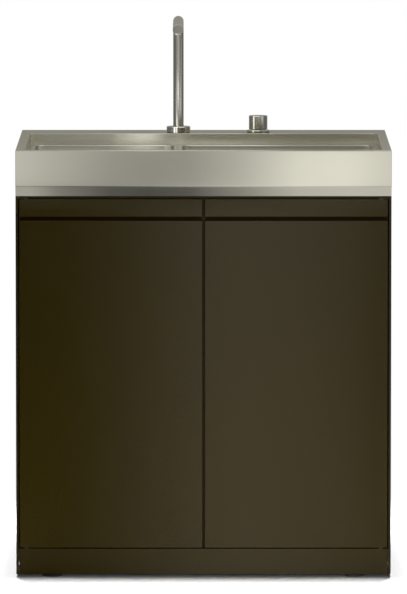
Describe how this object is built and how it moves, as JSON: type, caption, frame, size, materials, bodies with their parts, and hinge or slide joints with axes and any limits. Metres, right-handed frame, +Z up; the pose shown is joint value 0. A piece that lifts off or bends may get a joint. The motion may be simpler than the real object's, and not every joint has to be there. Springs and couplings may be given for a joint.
{
  "type": "kitchen sink module",
  "caption": "Free-standing kitchen sink cabinet: steel top with a recessed pair of bowls, swivel spout and mixer knob, over dark pivoted doors with finger slots, a plinth and screw feet.",
  "frame": {"origin": "on the floor, below the centre of the module's width and depth", "axes": "+X to the right seen from the front, -Y to the front, +Z up"},
  "size_m": [0.8, 0.6, 1.1729],
  "materials": {
    "sink_steel": "fine brushed",
    "tap_steel": "satin",
    "door_lacquer": "dark satin lacquer",
    "carcass_paint": "satin",
    "plated_steel": "zinc plated",
    "tap_brass": "machined",
    "chrome_pipe": "polished",
    "waste_plastic": "moulded",
    "nylon": "moulded",
    "foot_plastic": "moulded",
    "rubber": "matt"
  },
  "bodies": {
    "cabinet": {"sink_top": "sink_steel", "left_bowl": "sink_steel", "right_bowl": "sink_steel", "left_waste_body": "sink_steel", "right_waste_body": "sink_steel", "spout_base": "tap_steel", "mixer_flange": "tap_steel", "left_side_panel": "carcass_paint", "right_side_panel": "carcass_paint", "plinth": "carcass_paint", "centre_post": "carcass_paint", "front_rail": "carcass_paint", "rear_rail": "carcass_paint", "back_panel": "carcass_paint", "bottom_panel": "carcass_paint", "upper_pivot_brackets": "carcass_paint", "pivot_pins": "plated_steel", "back_panel_screws": "plated_steel", "top_fixing_screws": "plated_steel", "foot_sockets": "plated_steel", "spout_shank": "tap_brass", "mixer_valve_body": "tap_brass", "tap_lock_nuts": "tap_brass", "connecting_pipe": "chrome_pipe", "left_waste_pipe": "waste_plastic", "right_waste_pipe": "waste_plastic", "waste_tee": "waste_plastic", "trap_body": "waste_plastic", "trap_cup": "waste_plastic", "trap_outlet_pipe": "waste_plastic", "waste_slip_nuts": "waste_plastic", "waste_lock_rings": "waste_plastic", "pivot_washers": "nylon", "plinth_clips": "nylon", "magnetic_catches": "nylon", "waste_gaskets": "rubber", "tap_gaskets": "rubber", "bowl_sound_pads": "rubber", "door_bumpers": "rubber"},
    "left_door_leaf": {"left_door": "door_lacquer", "left_door_bushes": "nylon", "left_strike_plate": "plated_steel"},
    "right_door_leaf": {"right_door": "door_lacquer", "right_door_bushes": "nylon", "right_strike_plate": "plated_steel"},
    "spout": {"spout_tube": "tap_steel", "spout_end_cap": "tap_steel", "aerator": "tap_steel"},
    "mixer_control": {"mixer_knob": "tap_steel", "mixer_spindle": "plated_steel", "knob_grub_screw": "plated_steel"},
    "left_strainer": {"left_strainer_basket": "sink_steel", "left_strainer_knob": "sink_steel"},
    "right_strainer": {"right_strainer_basket": "sink_steel", "right_strainer_knob": "sink_steel"},
    "foot_front_left": {"front_left_foot": "foot_plastic"},
    "foot_front_right": {"front_right_foot": "foot_plastic"},
    "foot_rear_left": {"rear_left_foot": "foot_plastic"},
    "foot_rear_right": {"rear_right_foot": "foot_plastic"}
  },
  "joints": [
    {"name": "left_door_swing", "type": "hinge", "parent": "cabinet", "child": "left_door_leaf", "pos_m": [-0.379, -0.283, 0.436], "axis": [0, 0, -1], "range_deg": [0, 105]},
    {"name": "right_door_swing", "type": "hinge", "parent": "cabinet", "child": "right_door_leaf", "pos_m": [0.379, -0.283, 0.436], "axis": [0, 0, 1], "range_deg": [0, 105]},
    {"name": "spout_swivel", "type": "hinge", "parent": "cabinet", "child": "spout", "pos_m": [-0.055, 0.226, 0.925], "axis": [0, 0, 1], "range_deg": [-90, 90]},
    {"name": "mixer_turn", "type": "hinge", "parent": "cabinet", "child": "mixer_control", "pos_m": [0.12, 0.226, 0.93], "axis": [0, 0, 1], "range_deg": [0, 100]},
    {"name": "left_strainer_lift", "type": "slide", "parent": "cabinet", "child": "left_strainer", "axis": [0, 0, 1], "range_m": [0, 0.27]},
    {"name": "right_strainer_lift", "type": "slide", "parent": "cabinet", "child": "right_strainer", "axis": [0, 0, 1], "range_m": [0, 0.27]},
    {"name": "front_left_foot_adjust", "type": "slide", "parent": "cabinet", "child": "foot_front_left", "axis": [0, 0, -1], "range_m": [0, 0.02]},
    {"name": "front_right_foot_adjust", "type": "slide", "parent": "cabinet", "child": "foot_front_right", "axis": [0, 0, -1], "range_m": [0, 0.02]},
    {"name": "rear_left_foot_adjust", "type": "slide", "parent": "cabinet", "child": "foot_rear_left", "axis": [0, 0, -1], "range_m": [0, 0.02]},
    {"name": "rear_right_foot_adjust", "type": "slide", "parent": "cabinet", "child": "foot_rear_right", "axis": [0, 0, -1], "range_m": [0, 0.02]}
  ]
}
